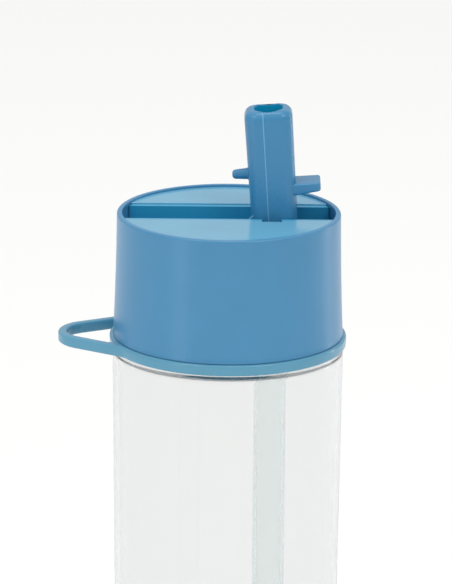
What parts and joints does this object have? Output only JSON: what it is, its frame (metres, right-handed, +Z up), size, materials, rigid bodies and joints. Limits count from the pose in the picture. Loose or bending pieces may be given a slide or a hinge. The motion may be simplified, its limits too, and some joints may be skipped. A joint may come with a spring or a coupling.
{
  "type": "flip-spout drinking bottle",
  "caption": "Clear rigid drinking bottle with a blue screw lid, a spout that folds into a slot, an inner straw and a side carry loop.",
  "frame": {"origin": "middle of the base, on the surface the bottle stands on", "axes": "+Z up along the bottle's axis; the lid's slot runs along X, the spout folds down towards -X and the carry loop points to -X"},
  "size_m": [0.088, 0.0722, 0.219],
  "materials": {
    "clear_bottle": "clear polished copolyester",
    "blue_lid": "satin moulded polypropylene",
    "blue_core": "satin moulded polypropylene",
    "blue_spout": "soft satin moulding",
    "blue_loop": "satin flexible moulding",
    "clear_straw": "clear extruded tube",
    "silicone": "translucent silicone"
  },
  "bodies": {
    "bottle": {"bottle_body": "clear_bottle"},
    "carry_loop": {"carry_loop": "blue_loop"},
    "thread_carrier": {"lid_gasket": "silicone"},
    "lid": {"lid_shell": "blue_lid", "lid_core": "blue_core", "spout_seal": "silicone", "vent_grommet": "silicone", "drinking_straw": "clear_straw"},
    "spout": {"flip_spout": "blue_spout"}
  },
  "joints": [
    {"name": "loop_turn", "type": "hinge", "parent": "bottle", "child": "carry_loop", "pos_m": [0, 0, 0.1465], "axis": [0, 0, 1], "continuous": true},
    {"name": "lid_lift", "type": "slide", "parent": "bottle", "child": "thread_carrier", "axis": [0, 0, 1], "range_m": [0, 0.005]},
    {"name": "lid_twist", "type": "hinge", "parent": "thread_carrier", "child": "lid", "pos_m": [0, 0, 0.165], "axis": [0, 0, 1], "range_deg": [0, 452]},
    {"name": "spout_fold", "type": "hinge", "parent": "lid", "child": "spout", "pos_m": [0.013, 0.00315, 0.17845], "axis": [0, -1, 0], "range_deg": [-3.7, 86.3]}
  ],
  "couplings": [
    {"joint": "lid_twist", "follows": "lid_lift", "rad_per_m": 1570.8}
  ]
}
